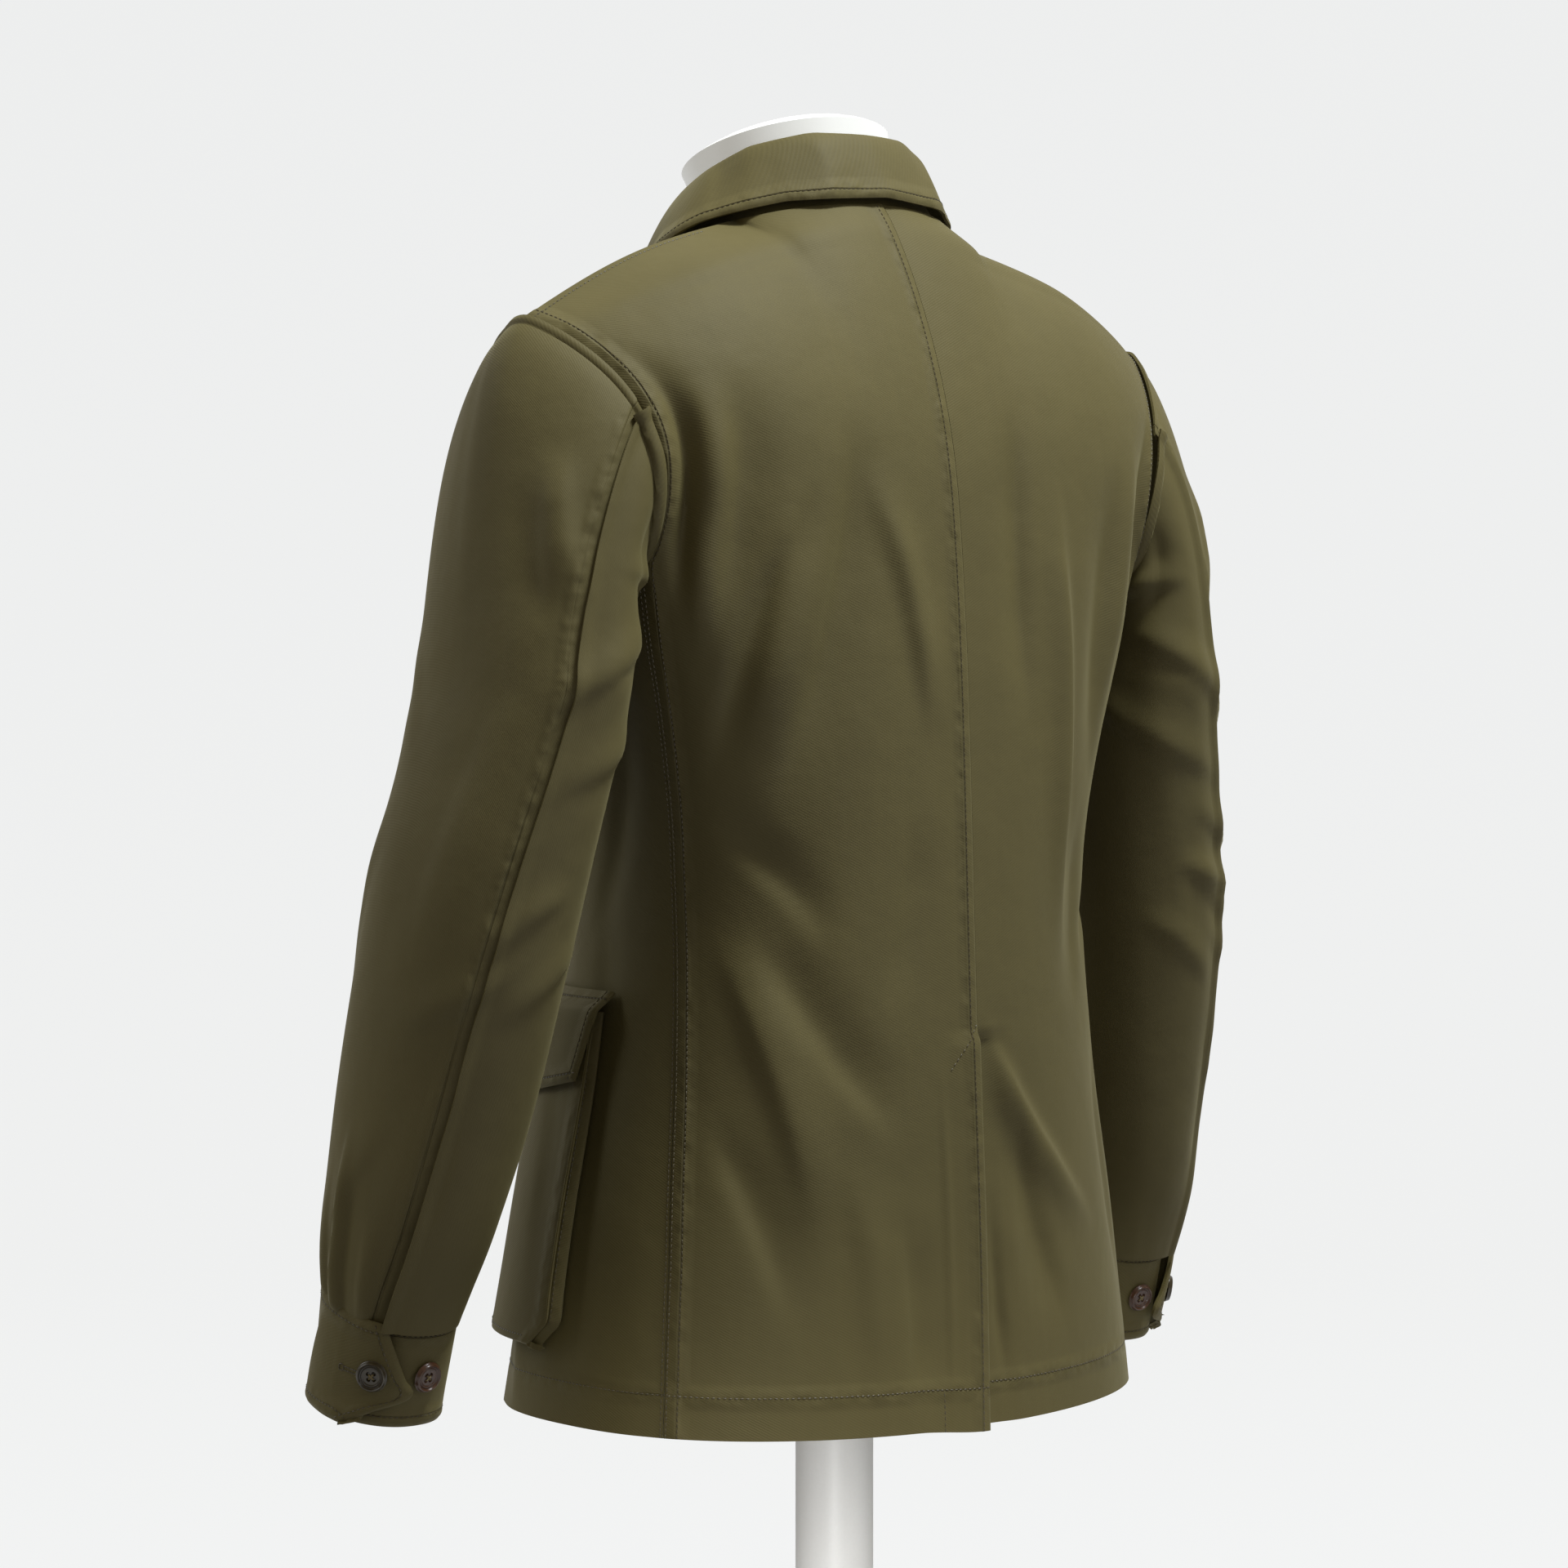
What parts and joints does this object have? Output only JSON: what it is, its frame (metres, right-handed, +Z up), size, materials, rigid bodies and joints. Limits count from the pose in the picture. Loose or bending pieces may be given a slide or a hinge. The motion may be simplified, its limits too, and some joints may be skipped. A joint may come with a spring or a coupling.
{
  "type": "field jacket on a dress form",
  "caption": "Olive cotton twill field jacket, buttoned, hollow, worn open at neck, hem and cuffs by a limbless dress form on a pole with a round base.",
  "frame": {"origin": "centre of the base's underside, on the pole's axis, where the stand rests", "axes": "+Z up along the pole, the jacket's front faces -Y, the wearer's left is +X"},
  "size_m": [0.6261, 0.3078, 0.9756],
  "materials": {
    "twill": "olive cotton twill, matt with a soft sheen",
    "button": "dark polished horn",
    "form_shell": "white satin lacquer on a moulded shell",
    "stand_metal": "white powder-coated steel"
  },
  "bodies": {
    "root": {"back_left": "twill", "back_right": "twill", "front_left": "twill", "front_right": "twill", "sleeve_top_left": "twill", "sleeve_top_right": "twill", "sleeve_under_left": "twill", "sleeve_under_right": "twill", "cuff_left": "twill", "cuff_right": "twill", "collar_stand": "twill", "collar_fall": "twill", "pocket_left": "twill", "pocket_right": "twill", "pocket_flap_left": "twill", "pocket_flap_right": "twill", "cuff_button_tab_left": "button", "cuff_button_tab_right": "button", "cuff_button_spare_left": "button", "cuff_button_spare_right": "button", "front_button_1": "button", "front_button_2": "button", "front_button_3": "button", "front_button_4": "button", "front_button_5": "button", "form_torso": "form_shell", "form_pole": "stand_metal", "form_base": "stand_metal"}
  },
  "joints": []
}
